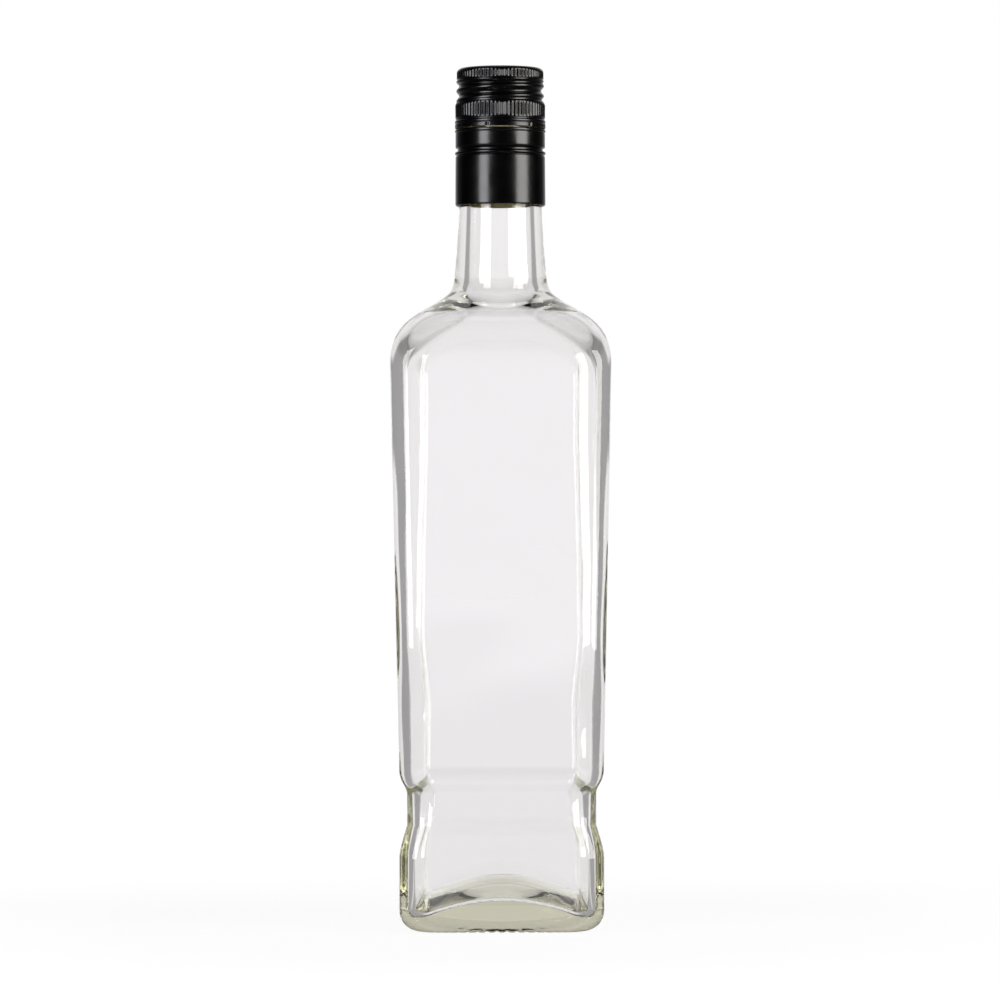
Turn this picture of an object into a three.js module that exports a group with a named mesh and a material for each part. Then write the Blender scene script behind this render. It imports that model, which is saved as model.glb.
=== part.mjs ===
// A clear square glass bottle with a waist near its foot, and a long black aluminium screw closure.
// Millimetres, +Z up. The origin is the centre of the base, on the plane that the bottle stands on.
import * as THREE from 'three';

// How finely round stretches are divided. Every piece uses the same columns, so faces that meet match.
const columns = 40;

// The bottle's outside. A half-width is measured from the axis to the flat of a side.
const bottle = {
  bodyHalf: 32.1,
  cornerRadius: 7.5,
  heelRadius: 7,
  baseBlockHeight: 23.5,
  lowerStepHeight: 10.5,
  waistDepth: 2.4,
  waistHeight: 9,
  upperStepHeight: 8,
  panelHeight: 127,
  panelSpread: 2.6,
  shoulderHeight: 18.8,
  shoulderHalf: 23,
  flareHeight: 10.7,
  neckHeight: 22,
  neckTaper: 1.4,
  collarHeight: 17.7,
  collarFlare: 0.1,
  collarFlat: 1.2,
  bearingWidth: 3,
  pushUpHeight: 3.6,
};

// The neck finish, which the closure grips and seals.
const finish = {
  radius: 12.35,
  height: 23.6,
  beadReach: 0.4,
  beadHeight: 3.6,
  beadOverThread: 0.45,
  recessHeight: 0.6,
  lipRound: 0.8,
  lipDrop: 0.2,
};

// The hollow inside the glass. The walls give its sizes.
const hollow = {
  wall: 2.9,
  cornerRadius: 8,
  waistWall: 3.2,
  baseWall: 3.5,
  shoulderWall: 1.8,
  neckWall: 4.4,
  finishWall: 3.25,
  floorThickness: 5.6,
  floorCrown: 2.6,
  floorRadius: 3.5,
};

// The right-handed screw thread. The closure's thread is rolled to the glass ridge with a clearance.
const thread = {
  pitch: 3.2,
  turns: 1.9,
  rise: 0.9,
  depthBelowLip: 1.9,
  fadeTurns: 0.18,
  clearance: 0.47,
  rowsPerPitch: 5,
};

// The aluminium closure. Heights follow one another down from its top, and radii follow the glass.
const closure = {
  sheet: 0.25,
  height: 43.8,
  topRound: 1.65,
  rimSetback: 0.13,
  rimFlutesHeight: 1.8,
  rimGrooveHeight: 0.7,
  rolledHeight: 6.85,
  rolledFade: 1.1,
  flutes: 72,
  fluteDepth: 0.3,
  bandHeight: 5,
  bandRise: 0.1,
  bandBevel: 0.9,
  neckingHeight: 1,
  neckingDepth: 0.35,
  ringHeight: 2.2,
  ringRise: 0.2,
  splitGap: 0.4,
  beadClearance: 0.3,
  sleeveLipHeight: 0.8,
  tuckHeight: 0.5,
  flankHeight: 0.35,
  sleeveBeadHeight: 0.9,
  lowerGrooveDepth: 0.3,
  skirtFlare: 0.1,
  endRoll: 0.15,
  endRollHeight: 0.6,
};

// The sealing disc between the lip and the closure's top.
const liner = {
  thickness: 1.95,
  rimClearance: 0.35,
};

// How the curves between upright stretches bend, as shares of each curve's own rise or reach.
const bend = {
  lowerStep: [0.35, 0.1],
  upperStep: [0.38, 0.5],
  shoulderLift: 0.64,
  shoulderReach: 0.5,
  shoulderDrop: 0.2,
  flareReach: 0.6,
  flareRise: 0.3,
  neckLift: 0.4,
  neckSag: 0.4,
};

// Half-widths and radii that the sizes above lead to.
const waistHalf = bottle.bodyHalf - bottle.waistDepth;
const panelTopHalf = bottle.bodyHalf + bottle.panelSpread;
const crestRadius = finish.radius + thread.rise;
const beadRadius = crestRadius + finish.beadOverThread;
const collarRadius = beadRadius - finish.beadReach;
const neckTopRadius = collarRadius - bottle.collarFlare;
const neckFootRadius = neckTopRadius + bottle.neckTaper;
const boreRadius = finish.radius - hollow.finishWall;
const neckFootBore = neckFootRadius - hollow.neckWall;
const sleeveRadius = beadRadius + closure.beadClearance + closure.sheet;
const bandRadius = sleeveRadius + closure.bandRise;
const ringRadius = sleeveRadius + closure.ringRise;
const rimRadius = crestRadius + thread.clearance + closure.sheet - closure.rimSetback;
const rimInside = rimRadius - closure.fluteDepth - closure.sheet;
const topInside = rimInside - closure.topRound;

// Heights that the sizes above lead to, counted up from the base.
const waistFoot = bottle.baseBlockHeight + bottle.lowerStepHeight;
const waistTop = waistFoot + bottle.waistHeight;
const panelFoot = waistTop + bottle.upperStepHeight;
const panelTop = panelFoot + bottle.panelHeight;
const shoulderTop = panelTop + bottle.shoulderHeight;
const neckFoot = shoulderTop + bottle.flareHeight;
const neckTop = neckFoot + bottle.neckHeight;
const collarTop = neckTop + bottle.collarHeight;
const beadTop = collarTop + finish.beadHeight;
const lipHeight = collarTop + finish.height;
const threadTop = lipHeight - thread.depthBelowLip;
const threadFoot = threadTop - (thread.turns + 0.5) * thread.pitch;
const closureTop = lipHeight + liner.thickness + closure.sheet;
const floorCentre = bottle.pushUpHeight + hollow.floorThickness;
const floorEdge = floorCentre - hollow.floorCrown;

// Depths down from the closure's top.
const rimFoot = closure.topRound + closure.rimFlutesHeight;
const rolledTop = rimFoot + closure.rimGrooveHeight;
const bandTop = rolledTop + closure.rolledHeight;
const bandFoot = bandTop + closure.bandHeight;
const ringTop = bandFoot + closure.neckingHeight;
const splitDepth = ringTop + closure.ringHeight;

// One ring round a square with rounded corners. A corner radius equal to the half-width gives a circle.
function roundedSquareRing(halfWidth, cornerRadius, z) {
  const ring = [];
  const reach = halfWidth - cornerRadius;
  for (let i = 0; i < columns; i += 1) {
    const angle = ((i + 0.5) / columns) * 2 * Math.PI;
    const x = reach * Math.sign(Math.cos(angle)) + cornerRadius * Math.cos(angle);
    const y = reach * Math.sign(Math.sin(angle)) + cornerRadius * Math.sin(angle);
    ring.push(new THREE.Vector3(x, y, z));
  }
  return ring;
}

// One ring whose radius is a function of the angle, the height and the point's place in the ring.
function shapedRing(radiusAt, z, count = columns) {
  const ring = [];
  for (let i = 0; i < count; i += 1) {
    const angle = ((i + 0.5) / count) * 2 * Math.PI;
    const radius = radiusAt(angle, z, i);
    ring.push(new THREE.Vector3(radius * Math.cos(angle), radius * Math.sin(angle), z));
  }
  return ring;
}

function roundRing(radius, z) {
  return shapedRing(() => radius, z);
}

// Triangles between two rings, which may have different numbers of points, joined in order of angle.
function joinRings(triangles, startA, countA, startB, countB) {
  let i = 0;
  let j = 0;
  while (i < countA || j < countB) {
    const a = startA + (i % countA);
    const b = startB + (j % countB);
    if (j >= countB || (i < countA && (i + 1.5) / countA <= (j + 1.5) / countB)) {
      triangles.push(a, startA + ((i + 1) % countA), b);
      i += 1;
    } else {
      triangles.push(a, startB + ((j + 1) % countB), b);
      j += 1;
    }
  }
}

// A closed skin through rings that run from the middle of one end face to the middle of the other.
function skinFromRings(rings) {
  const positions = [];
  const triangles = [];
  const starts = [];
  for (const ring of rings) {
    starts.push(positions.length / 3);
    for (const point of ring) positions.push(point.x, point.y, point.z);
  }
  for (let k = 0; k + 1 < rings.length; k += 1) {
    joinRings(triangles, starts[k], rings[k].length, starts[k + 1], rings[k + 1].length);
  }
  const last = rings.length - 1;
  for (const [k, turn] of [[0, 1], [last, -1]]) {
    const centre = positions.length / 3;
    const count = rings[k].length;
    positions.push(0, 0, rings[k][0].z);
    for (let i = 0; i < count; i += 1) {
      const a = starts[k] + i;
      const b = starts[k] + ((i + turn + count) % count);
      triangles.push(centre, b, a);
    }
  }
  const geometry = new THREE.BufferGeometry();
  geometry.setAttribute('position', new THREE.Float32BufferAttribute(positions, 3));
  geometry.setIndex(triangles);
  geometry.computeVertexNormals();
  return geometry;
}

// Points of a curve as half-width and height pairs, without the first one.
function along(curve, steps) {
  return curve.getPoints(steps).slice(1);
}

function at(halfWidth, z) {
  return new THREE.Vector2(halfWidth, z);
}

// A smooth step between two upright stretches of wall. Lead and trail say how long it stays upright.
function stepCurve(fromHalf, fromZ, toHalf, toZ, [lead, trail]) {
  const rise = toZ - fromZ;
  return new THREE.CubicBezierCurve(
    at(fromHalf, fromZ), at(fromHalf, fromZ + lead * rise), at(toHalf, toZ - trail * rise), at(toHalf, toZ),
  );
}

// The shoulder rises from the panel, rolls inwards and turns up again into the neck.
function shoulderCurves(panelHalf, panelZ, turnHalf, turnZ, neckRadius, neckZ) {
  const rise = turnZ - panelZ;
  const flare = neckZ - turnZ;
  const reach = turnHalf - neckRadius;
  const roll = new THREE.CubicBezierCurve(
    at(panelHalf, panelZ),
    at(panelHalf, panelZ + bend.shoulderLift * rise),
    at(turnHalf + bend.shoulderReach * (panelHalf - turnHalf), turnZ - bend.shoulderDrop * rise),
    at(turnHalf, turnZ),
  );
  const turnUp = new THREE.CubicBezierCurve(
    at(turnHalf, turnZ),
    at(turnHalf - bend.flareReach * reach, turnZ + bend.flareRise * flare),
    at(neckRadius, turnZ + bend.neckLift * flare),
    at(neckRadius, neckZ),
  );
  return [roll, turnUp];
}

// The corners keep their radius up to the shoulder, and grow through it until the section is round.
function cornerAt(halfWidth, z, bodyCorner) {
  const share = THREE.MathUtils.smoothstep(z, panelTop, neckFoot);
  return THREE.MathUtils.lerp(Math.min(bodyCorner, 0.8 * halfWidth), halfWidth, share);
}

// The push-up under the base, from its middle out to the bearing ring and round the heel.
function baseOutline() {
  const bearingOuter = bottle.bodyHalf - bottle.heelRadius;
  const bearingInner = bearingOuter - bottle.bearingWidth;
  const pushUp = [0.15, 0.5, 0.8].map((share) => at(
    bearingInner * share, bottle.pushUpHeight * Math.cos((share * Math.PI) / 2),
  ));
  const heel = new THREE.EllipseCurve(
    bearingOuter, bottle.heelRadius, bottle.heelRadius, bottle.heelRadius, -Math.PI / 2, 0,
  );
  return [...pushUp, at(bearingInner, 0), at(bearingOuter, 0), ...along(heel, 5)];
}

// The outer wall of the bottle from the base block to the collar under the bead.
function wallOutline() {
  const { bodyHalf, baseBlockHeight, collarFlat } = bottle;
  const [shoulder, flare] = shoulderCurves(
    panelTopHalf, panelTop, bottle.shoulderHalf, shoulderTop, neckFootRadius, neckFoot,
  );
  const neck = new THREE.QuadraticBezierCurve(
    at(neckFootRadius, neckFoot),
    at(neckTopRadius + bend.neckSag * bottle.neckTaper, neckFoot + 0.5 * bottle.neckHeight),
    at(neckTopRadius, neckTop),
  );
  return [
    at(bodyHalf, baseBlockHeight),
    ...along(stepCurve(bodyHalf, baseBlockHeight, waistHalf, waistFoot, bend.lowerStep), 5),
    at(waistHalf, waistTop),
    ...along(stepCurve(waistHalf, waistTop, bodyHalf, panelFoot, bend.upperStep), 5),
    at(panelTopHalf, panelTop),
    ...along(shoulder, 8),
    ...along(flare, 5),
    ...along(neck, 3),
    at(collarRadius, collarTop - collarFlat),
    at(collarRadius, collarTop),
  ];
}

// The retaining bead, the threaded finish and the lip.
function finishRings() {
  const rings = [];
  for (const share of [0.2, 0.4, 0.6, 0.8]) {
    const bulge = Math.sin(share * Math.PI) * finish.beadReach;
    rings.push(roundRing(collarRadius + bulge, collarTop + share * finish.beadHeight));
  }
  rings.push(roundRing(finish.radius, beadTop + finish.recessHeight));
  const rows = Math.round(((threadTop - threadFoot) / thread.pitch) * thread.rowsPerPitch);
  for (let row = 0; row <= rows; row += 1) {
    rings.push(shapedRing(glassRadius, THREE.MathUtils.lerp(threadFoot, threadTop, row / rows)));
  }
  rings.push(roundRing(finish.radius, lipHeight - finish.lipRound));
  rings.push(roundRing(finish.radius - finish.lipRound / 2, lipHeight - finish.lipDrop));
  rings.push(roundRing(finish.radius - finish.lipRound, lipHeight));
  return rings;
}

// How far up the screw a point lies, in turns. A whole number is the middle of a ridge.
function turnsUpThread(angle, z) {
  return (z - threadTop) / thread.pitch + 0.5 - angle / (2 * Math.PI);
}

// The ridge's height over the finish, as a full wave with no ends.
function ridgeRise(angle, z) {
  return thread.rise * (0.5 + 0.5 * Math.cos(2 * Math.PI * turnsUpThread(angle, z)));
}

// The glass ridge follows the screw for its turns and fades out at both ends.
function glassRadius(angle, z) {
  const travelled = angle / (2 * Math.PI) + Math.round(turnsUpThread(angle, z)) + thread.turns;
  const fade = Math.min(travelled, thread.turns - travelled) / thread.fadeTurns;
  return finish.radius + ridgeRise(angle, z) * THREE.MathUtils.clamp(fade, 0, 1);
}

// The hollow's outline, from the bore at the lip down to the middle of the floor.
function hollowOutline() {
  const baseInside = bottle.bodyHalf - hollow.baseWall;
  const waistInside = waistHalf - hollow.waistWall;
  const panelFootInside = bottle.bodyHalf - hollow.wall;
  const [shoulder, flare] = shoulderCurves(
    panelTopHalf - hollow.wall, panelTop - hollow.wall,
    bottle.shoulderHalf - hollow.shoulderWall, shoulderTop - hollow.wall,
    neckFootBore, neckFoot - hollow.shoulderWall,
  );
  const upward = [
    at(baseInside, bottle.baseBlockHeight),
    ...along(stepCurve(baseInside, bottle.baseBlockHeight, waistInside, waistFoot, bend.lowerStep), 4),
    at(waistInside, waistTop),
    ...along(stepCurve(waistInside, waistTop, panelFootInside, panelFoot, bend.upperStep), 4),
    at(panelTopHalf - hollow.wall, panelTop - hollow.wall),
    ...along(shoulder, 6),
    ...along(flare, 5),
    at(boreRadius, collarTop),
    at(boreRadius, lipHeight - finish.lipRound),
    at(boreRadius + finish.lipRound, lipHeight),
  ];
  const fillet = Math.min(hollow.floorRadius, bottle.baseBlockHeight - floorEdge);
  const floorHalf = baseInside - fillet;
  const corner = new THREE.EllipseCurve(floorHalf, floorEdge + fillet, fillet, fillet, 0, -Math.PI / 2, true);
  const floor = [0.8, 0.5, 0.15].map((share) => at(
    floorHalf * share, floorEdge + hollow.floorCrown * Math.cos((share * Math.PI) / 2),
  ));
  return [...upward.reverse(), ...corner.getPoints(4), ...floor];
}

function makeGlassBottle() {
  const outside = [...baseOutline(), ...wallOutline()].map((point) => roundedSquareRing(
    point.x, cornerAt(point.x, point.y, bottle.cornerRadius), point.y,
  ));
  const inside = hollowOutline().map((point) => roundedSquareRing(
    point.x, cornerAt(point.x, point.y, hollow.cornerRadius), point.y,
  ));
  return skinFromRings([...outside, ...finishRings(), ...inside]);
}

// The inside of the rolled stretch follows the glass ridge, and goes plain towards both its ends.
function rolledInside(angle, z) {
  const depth = closureTop - z;
  const fade = Math.min(depth - rolledTop, bandTop - depth) / closure.rolledFade;
  const hollowing = thread.rise - ridgeRise(angle, z);
  return crestRadius + thread.clearance - hollowing * THREE.MathUtils.clamp(fade, 0, 1);
}

// Rings up through the rolled stretch, at an offset from its inside.
function rolledRings(offset) {
  const rows = Math.round((closure.rolledHeight / thread.pitch) * thread.rowsPerPitch);
  const rings = [];
  for (let row = 0; row <= rows; row += 1) {
    const depth = THREE.MathUtils.lerp(bandTop, rolledTop, row / rows);
    rings.push(shapedRing((angle, z) => rolledInside(angle, z) + offset, closureTop - depth));
  }
  return rings;
}

// Flutes alternate between crest and root round a ring with two points to a flute.
function flutedRing(crest, depth) {
  const radiusAt = (angle, z, i) => crest - (i % 2 ? closure.fluteDepth : 0);
  return shapedRing(radiusAt, closureTop - depth, 2 * closure.flutes);
}

// The upper part of the closure, which turns. Its skin starts under the top and ends on top.
function makeScrewCap() {
  const ringAt = (radius, depth) => roundRing(radius, closureTop - depth);
  const { sheet, topRound } = closure;
  const bandInside = bandRadius - closure.fluteDepth - sheet;
  const rootRadius = bandRadius - closure.fluteDepth;
  const necking = ringRadius - closure.neckingDepth;
  const neckingDepth = bandFoot + 0.5 * closure.neckingHeight;
  const inside = [
    ringAt(topInside, sheet),
    ringAt(rimInside, topRound),
    ringAt(rimInside, rimFoot),
    ...rolledRings(0).reverse(),
    ringAt(bandInside, bandTop + closure.bandBevel),
    ringAt(bandInside, bandFoot),
    ringAt(necking - sheet, neckingDepth),
    ringAt(ringRadius - sheet, ringTop),
    ringAt(ringRadius - sheet, splitDepth),
  ];
  const outside = [
    ringAt(ringRadius, splitDepth),
    ringAt(ringRadius, ringTop),
    ringAt(necking, neckingDepth),
    ringAt(rootRadius, bandFoot),
    flutedRing(bandRadius, bandFoot - closure.fluteDepth),
    flutedRing(bandRadius, bandTop + closure.bandBevel),
    ...rolledRings(sheet),
    ringAt(rimRadius - closure.fluteDepth, rimFoot + 0.5 * closure.rimGrooveHeight),
    flutedRing(rimRadius, rimFoot),
    flutedRing(rimRadius, topRound),
    ringAt(rimRadius - 0.5 * topRound, 0.3 * topRound),
    ringAt(rimRadius - topRound, 0),
  ];
  return skinFromRings([...inside, ...outside]);
}

// The sealing disc lies on the lip and fills the rounded corner under the closure's top.
function makeCapLiner() {
  const radius = rimInside - liner.rimClearance;
  const top = lipHeight + liner.thickness;
  const bevel = Math.min(closure.topRound, 0.9 * liner.thickness);
  const outline = [at(0, top), at(topInside - liner.rimClearance, top), at(radius, top - bevel),
    at(radius, lipHeight), at(0, lipHeight)];
  return new THREE.LatheGeometry(outline.reverse(), columns, Math.PI / columns).rotateX(Math.PI / 2);
}

// The long sleeve below the split, which stays on the neck, tucked in under the glass bead.
function makeNeckSleeve() {
  const { flankHeight, sheet } = closure;
  const tuckRadius = collarRadius + sheet;
  const tuckTop = closureTop - collarTop;
  const tuckFoot = tuckTop + closure.tuckHeight;
  const beadFoot = tuckFoot + flankHeight + closure.sleeveBeadHeight;
  const sleeveTop = splitDepth + closure.splitGap;
  const outline = [
    [sleeveRadius, sleeveTop],
    [ringRadius, sleeveTop + closure.sleeveLipHeight],
    [sleeveRadius, sleeveTop + 2 * closure.sleeveLipHeight],
    [sleeveRadius, tuckTop - flankHeight],
    [tuckRadius, tuckTop],
    [tuckRadius, tuckFoot],
    [ringRadius, tuckFoot + flankHeight],
    [ringRadius, beadFoot],
    [sleeveRadius - closure.lowerGrooveDepth, beadFoot + flankHeight],
    [sleeveRadius, beadFoot + 2 * flankHeight],
    [sleeveRadius + closure.skirtFlare, closure.height - closure.endRollHeight],
    [sleeveRadius - closure.endRoll, closure.height],
  ];
  const outer = outline.map(([radius, depth]) => at(radius, closureTop - depth));
  const inner = outline.map(([radius, depth]) => at(radius - sheet, closureTop - depth));
  const loop = [...outer.reverse(), ...inner];
  loop.push(loop[0].clone());
  return new THREE.LatheGeometry(loop, columns, Math.PI / columns).rotateX(Math.PI / 2);
}

// One named piece with its own material.
function piece(name, geometry, look) {
  const mesh = new THREE.Mesh(geometry, new THREE.MeshStandardMaterial(look));
  mesh.name = name;
  return mesh;
}

const clearGlass = { color: 0xe4ebe0, roughness: 0.05, metalness: 0, transparent: true, opacity: 0.35 };
const blackAluminium = { color: 0x0b0b0c, roughness: 0.32, metalness: 0.6 };
const whiteFoam = { color: 0xe9e7df, roughness: 0.8, metalness: 0 };

const group = new THREE.Group();
group.add(piece('glass_bottle', makeGlassBottle(), clearGlass));
group.add(piece('screw_cap', makeScrewCap(), blackAluminium));
group.add(piece('cap_liner', makeCapLiner(), whiteFoam));
group.add(piece('neck_sleeve', makeNeckSleeve(), blackAluminium));

export default group;
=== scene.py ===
import math

import bpy
import numpy as np
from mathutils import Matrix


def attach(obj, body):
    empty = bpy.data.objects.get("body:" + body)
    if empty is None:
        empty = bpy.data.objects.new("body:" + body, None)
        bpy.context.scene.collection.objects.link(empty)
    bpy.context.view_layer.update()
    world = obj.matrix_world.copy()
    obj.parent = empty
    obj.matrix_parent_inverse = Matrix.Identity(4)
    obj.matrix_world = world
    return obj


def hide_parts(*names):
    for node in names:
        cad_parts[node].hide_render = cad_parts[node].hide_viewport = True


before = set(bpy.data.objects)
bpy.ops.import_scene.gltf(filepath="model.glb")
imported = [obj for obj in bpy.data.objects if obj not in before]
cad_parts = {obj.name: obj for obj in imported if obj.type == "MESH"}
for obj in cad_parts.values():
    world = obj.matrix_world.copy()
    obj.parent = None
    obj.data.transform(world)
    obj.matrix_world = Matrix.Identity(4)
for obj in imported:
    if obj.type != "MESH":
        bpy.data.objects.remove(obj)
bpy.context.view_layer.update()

mm = 0.001
slack = 0.01  # mm, for comparing heights and widths
print("stage: frame loaded")

# Small helpers for colours, nodes, outlines and meshes


def toLinear(hexColour):
    # Each sRGB channel up to 0.04045 is divided by 12.92, and above it (c + 0.055) / 1.055 is raised to 2.4.
    channels = [int(hexColour[i:i + 2], 16) / 255 for i in (1, 3, 5)]
    return [c / 12.92 if c <= 0.04045 else ((c + 0.055) / 1.055) ** 2.4 for c in channels] + [1.0]


def addNode(tree, kind, settings=None, inputs=None, links=None):
    # settings are the node's own options, inputs its socket values, and each link names its own input,
    # the other node and that node's output
    node = tree.nodes.new(kind)
    for name, value in (settings or {}).items():
        setattr(node, name, value)
    for socket, value in (inputs or {}).items():
        node.inputs[socket].default_value = value
    for socket, other, output in links or []:
        tree.links.new(other.outputs[output], node.inputs[socket])
    return node


def newMaterial(name):
    material = bpy.data.materials.new(name)
    material.use_nodes = True
    material.node_tree.nodes.clear()
    return material, material.node_tree


def bezierPoints(start, lead, trail, end, count):
    # Cubic Bezier: the four corners weighted by (1-t)^3, 3t(1-t)^2, 3t^2(1-t) and t^3.
    t = np.linspace(0, 1, count)[:, None]
    corners = [np.array(corner, float) for corner in (start, lead, trail, end)]
    weights = [(1 - t) ** 3, 3 * t * (1 - t) ** 2, 3 * t ** 2 * (1 - t), t ** 3]
    return sum(weight * corner for weight, corner in zip(weights, corners))


def arcPoints(centre, radius, fromDegrees, toDegrees, count):
    # Circle: the centre plus the radius times cosine and sine of evenly spaced angles.
    angle = np.radians(np.linspace(fromDegrees, toDegrees, count))[:, None]
    return np.array(centre) + radius * np.hstack([np.cos(angle), np.sin(angle)])


def linePoints(start, end, count):
    # Straight line: start plus an even share of the way to the end.
    t = np.linspace(0, 1, count)[:, None]
    return (1 - t) * np.array(start, float) + t * np.array(end, float)


def joinOutlines(pieces):
    # Pieces follow one another, and the first point of each is the last of the one before.
    return np.vstack([pieces[0]] + [piece[1:] for piece in pieces[1:]])


def smoothStep(x, low, high):
    # 3t^2 - 2t^3 with t the share of the way from low to high, held between 0 and 1.
    t = np.clip((x - low) / (high - low), 0, 1)
    return t * t * (3 - 2 * t)


def bump(x, centre, halfWidth):
    # One raised cosine: 1 at the centre, 0 at half a width away and beyond.
    return 0.5 + 0.5 * np.cos(np.pi * np.clip((x - centre) / halfWidth, -1, 1))


def ringAngles(columns):
    # Even steps round the axis, each half a step on from a whole one.
    return ((np.arange(columns) + 0.5) / columns * 2 * np.pi)[None, :]


def meshObject(name, points, faces, materials, slots=None):
    # Smooth all over, at the origin, with one material slot number for each face where slots are given.
    mesh = bpy.data.meshes.new(name)
    mesh.from_pydata(points.tolist(), [], faces)
    for material in materials:
        mesh.materials.append(material)
    if slots is not None:
        mesh.polygons.foreach_set("material_index", slots.astype(np.int32))
    mesh.polygons.foreach_set("use_smooth", np.ones(len(mesh.polygons), bool))
    mesh.update()
    piece = bpy.data.objects.new(name, mesh)
    bpy.context.scene.collection.objects.link(piece)
    return piece


def skinObject(name, radius, height, angle, materials, slotOfRow=None):
    # Rows of points x = r cos a, y = r sin a, z from the middle of one end face to the middle of the other.
    # Neighbouring rows are joined by quads, and each end is closed by triangles round its middle.
    rows, columns = radius.shape
    z = np.broadcast_to(height, radius.shape)
    ring = np.stack([radius * np.cos(angle), radius * np.sin(angle), z], -1)
    ends = np.array([[0, 0, z[0, 0]], [0, 0, z[-1, 0]]])
    points = np.vstack([ring.reshape(-1, 3), ends]) * mm
    index = np.arange(rows * columns).reshape(rows, columns)
    ahead = np.roll(index, -1, axis=1)
    quads = np.stack([index[:-1], ahead[:-1], ahead[1:], index[1:]], -1).reshape(-1, 4)
    firstFan = np.stack([np.full(columns, rows * columns), ahead[0], index[0]], -1)
    lastFan = np.stack([np.full(columns, rows * columns + 1), index[-1], ahead[-1]], -1)
    slots = None
    if slotOfRow is not None:
        slots = np.repeat(np.concatenate([slotOfRow[:-1], slotOfRow[[0, -1]]]), columns)
    return meshObject(name, points, quads.tolist() + firstFan.tolist() + lastFan.tolist(), materials, slots)


def tubeObject(name, outline, slotOfRow, columns, materials):
    # A closed ring outline carried round the axis: x = r cos a, y = r sin a, z = top - depth.
    rows = len(outline)
    angle = ringAngles(columns)
    x, y = outline[:, :1] * np.cos(angle), outline[:, :1] * np.sin(angle)
    z = np.broadcast_to(closureTop - outline[:, 1:], x.shape)
    points = np.stack([x, y, z], -1).reshape(-1, 3) * mm
    index = np.arange(rows * columns).reshape(rows, columns)
    nextRow, ahead = np.roll(index, -1, axis=0), np.roll(index, -1, axis=1)
    quads = np.stack([index, ahead, np.roll(ahead, -1, axis=0), nextRow], -1).reshape(-1, 4)
    return meshObject(name, points, quads.tolist(), materials, np.repeat(slotOfRow, columns))


# The glass bottle: millimetres, and a half-width is measured from the axis to the flat of a side
glass = {
    # outside
    "bodyHalf": 32.1, "cornerRadius": 7.5, "heelRadius": 7.0, "bearingWidth": 3.0, "pushUpHeight": 3.6,
    "baseBlockHeight": 23.5, "lowerStepHeight": 10.5, "waistDepth": 2.4, "waistHeight": 9.0,
    "upperStepHeight": 8.0, "panelHeight": 127.0, "panelSpread": 2.6,
    "shoulderHeight": 18.8, "shoulderHalf": 23.0, "flareHeight": 10.7,
    "neckHeight": 22.0, "neckTaper": 1.4, "collarHeight": 17.7, "collarFlare": 0.1, "collarFlat": 1.2,
    # how the outline bends: shares of a step's height, of the shoulder's width and height, and of the neck
    "lowerStepBend": (0.35, 0.1), "upperStepBend": (0.38, 0.5),
    "rollRise": 0.64, "turnAcross": 0.6, "turnUp": 0.3, "flareRise": 0.4,
    "neckSag": 0.4, "neckPinch": 0.3, "neckLead": 4.0, "neckTrail": 2.0,
    # inside, where each pair in innerCorners is a height and the corner radius there
    "wall": 2.9, "waistWall": 3.4, "baseWall": 4.0, "shoulderWall": 2.4, "shoulderDrop": 2.9,
    "innerCorners": [(0, 5.0), (30, 5.0), (50, 7.0), (72, 8.0),
                     (91, 6.0), (123, 7.3), (155, 9.0), (178, 9.5)],
    "neckWall": 4.4, "finishWall": 3.25,
    "floorThickness": 4.2, "floorRadius": 3.5, "domeRise": 12.4, "domeReach": 37.0,
    # slow waves inside: depth, height of one wave, waves round the bottle, and start in radians
    "innerWaves": [(0.08, 46.0, 3, 0.0), (0.048, 29.0, -2, 1.3)], "waveFadeFoot": 25.0, "waveFadeTop": 10.0,
    # finish and thread
    "finishRadius": 12.35, "finishHeight": 23.6, "beadReach": 0.4, "beadHeight": 3.6, "beadFallIn": 0.35,
    "beadOverThread": 0.45, "lipRound": 0.8,
    "threadPitch": 3.2, "threadTurns": 1.9, "threadRise": 0.9, "threadBelowLip": 1.9, "threadFade": 0.18,
    # notches round the bearing ring, which need the spread of the columns to be past these shares
    "knurlColumns": 3, "knurlDepth": 0.38, "knurlHeight": 1.2, "knurlSpread": (0.3, 1.1),
    # the mesh
    "columnsPerSide": 66, "cornerCrowding": 0.72, "roundestShare": 0.8, "middleShare": 0.04,
}

bearingOuter = glass["bodyHalf"] - glass["heelRadius"]
bearingInner = bearingOuter - glass["bearingWidth"]
waistHalf = glass["bodyHalf"] - glass["waistDepth"]
panelTopHalf = glass["bodyHalf"] + glass["panelSpread"]
crestRadius = glass["finishRadius"] + glass["threadRise"]
beadRadius = crestRadius + glass["beadOverThread"]
collarRadius = beadRadius - glass["beadReach"]
neckTopRadius = collarRadius - glass["collarFlare"]
neckFootRadius = neckTopRadius + glass["neckTaper"]
boreRadius = glass["finishRadius"] - glass["finishWall"]
neckFootBore = neckFootRadius - glass["neckWall"]
waistFoot = glass["baseBlockHeight"] + glass["lowerStepHeight"]
waistTop = waistFoot + glass["waistHeight"]
panelFoot = waistTop + glass["upperStepHeight"]
panelTop = panelFoot + glass["panelHeight"]
shoulderTop = panelTop + glass["shoulderHeight"]
neckFoot = shoulderTop + glass["flareHeight"]
neckTop = neckFoot + glass["neckHeight"]
collarTop = neckTop + glass["collarHeight"]
lipHeight = collarTop + glass["finishHeight"]
threadTop = lipHeight - glass["threadBelowLip"]
threadFoot = threadTop - (glass["threadTurns"] + 0.5) * glass["threadPitch"]


def turnsUpThread(angle, z):
    # Height over the pitch, less the share of a turn: a whole number is the middle of a ridge.
    return (z - threadTop) / glass["threadPitch"] + 0.5 - angle / (2 * np.pi)


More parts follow.
